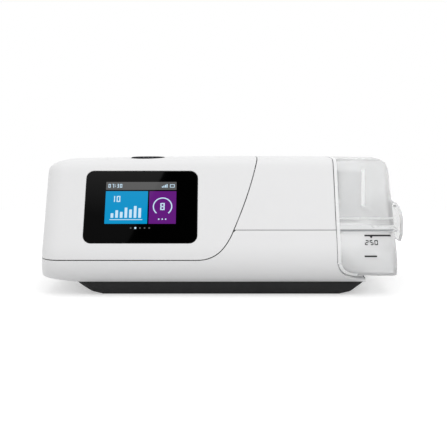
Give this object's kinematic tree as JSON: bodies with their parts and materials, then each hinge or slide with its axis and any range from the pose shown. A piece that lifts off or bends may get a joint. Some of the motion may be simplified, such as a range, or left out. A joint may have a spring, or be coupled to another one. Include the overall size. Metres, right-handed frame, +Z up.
{
  "type": "bilevel pap machine",
  "caption": "Bedside bilevel breathing machine with a sloping colour screen, top start button, rear air outlet and hinged filter cover, and a clear water tub that slides out.",
  "frame": {"origin": "middle of the bounding box's footprint, on the plane under the feet", "axes": "+Z up, the front with the screen faces -Y, the water tub is at the +X end"},
  "size_m": [0.2593, 0.1386, 0.0945],
  "materials": {
    "shell_white": "fine satin moulding",
    "base_black": "fine grain",
    "panel_white": "satin",
    "foot_rubber": "matt",
    "steel": "satin",
    "cover_glass": "black, polished",
    "dark_foam": "matt",
    "display": "matt",
    "ribbon": "smooth film",
    "button_grey": "satin",
    "light_guide": "frosted",
    "board_green": "lacquered",
    "card_blue": "satin",
    "clip_grey": "satin",
    "filter_media": "fibrous",
    "inner_grey": "satin",
    "foam_grey": "open-cell foam",
    "aluminium": "satin",
    "copper": "enamelled wire",
    "silicone": "soft, matt",
    "tub_clear": "clear, slightly grey"
  },
  "bodies": {
    "machine": {"main_cover": "shell_white", "bay_cover": "shell_white", "lower_housing": "shell_white", "base_pan": "base_black", "rear_panel": "panel_white", "rubber_feet": "foot_rubber", "base_screws": "steel", "screen_glass": "cover_glass", "screen_gasket": "dark_foam", "display_module": "display", "display_ribbon": "ribbon", "button_light_guide": "light_guide", "button_board": "board_green", "main_board": "board_green", "wireless_module": "steel", "card_reader": "steel", "memory_card": "card_blue", "power_inlet": "base_black", "adapter_cover": "panel_white", "air_filter": "filter_media", "intake_muffler": "inner_grey", "muffler_foam": "foam_grey", "intake_duct": "inner_grey", "blower_cover": "inner_grey", "blower_base": "inner_grey", "motor_housing": "aluminium", "motor_stator": "steel", "stator_coils": "copper", "motor_bearings": "steel", "blower_mount": "silicone", "blower_boot": "silicone", "flow_sensor": "board_green", "outlet_elbow": "inner_grey", "outlet_connector": "base_black", "bay_liner": "panel_white", "bay_port_seals": "silicone", "heater_mount": "base_black", "heater_plate": "aluminium"},
    "start_button": {"start_button": "button_grey"},
    "tub": {"tub_base": "tub_clear", "tub_heat_plate": "steel", "tub_seal": "silicone", "tub_lid": "tub_clear", "tub_air_duct": "tub_clear"},
    "tub_latch": {"tub_latch": "tub_clear"},
    "filter_cover": {"filter_cover": "panel_white"},
    "retention_clip": {"retention_clip": "clip_grey"},
    "card_cover": {"card_cover": "shell_white"},
    "rotor": {"rotor_shaft": "steel", "impeller": "inner_grey"}
  },
  "joints": [
    {"name": "button_press", "type": "slide", "parent": "machine", "child": "start_button", "axis": [0, 0, -1], "range_m": [0, 0.001], "stiffness_N_per_m": 800},
    {"name": "tub_slide", "type": "slide", "parent": "machine", "child": "tub", "axis": [1, 0, 0], "range_m": [0, 0.11]},
    {"name": "latch_pivot", "type": "hinge", "parent": "tub", "child": "tub_latch", "pos_m": [0.1206, 0, 0.061], "axis": [0, -1, 0], "range_deg": [0, 60]},
    {"name": "filter_cover_hinge", "type": "hinge", "parent": "machine", "child": "filter_cover", "pos_m": [-0.1077, 0.0649, 0.056], "axis": [0, 0, 1], "range_deg": [0, 110]},
    {"name": "clip_hinge", "type": "hinge", "parent": "machine", "child": "retention_clip", "pos_m": [-0.042, 0.0675, 0.038], "axis": [1, 0, 0], "range_deg": [0, 110]},
    {"name": "card_cover_hinge", "type": "hinge", "parent": "machine", "child": "card_cover", "pos_m": [-0.1285, -0.0037, 0.0193], "axis": [0, 0, -1], "range_deg": [0, 100]},
    {"name": "rotor_spin", "type": "hinge", "parent": "machine", "child": "rotor", "pos_m": [-0.035, 0, 0.05], "axis": [0, 0, 1], "continuous": true}
  ]
}
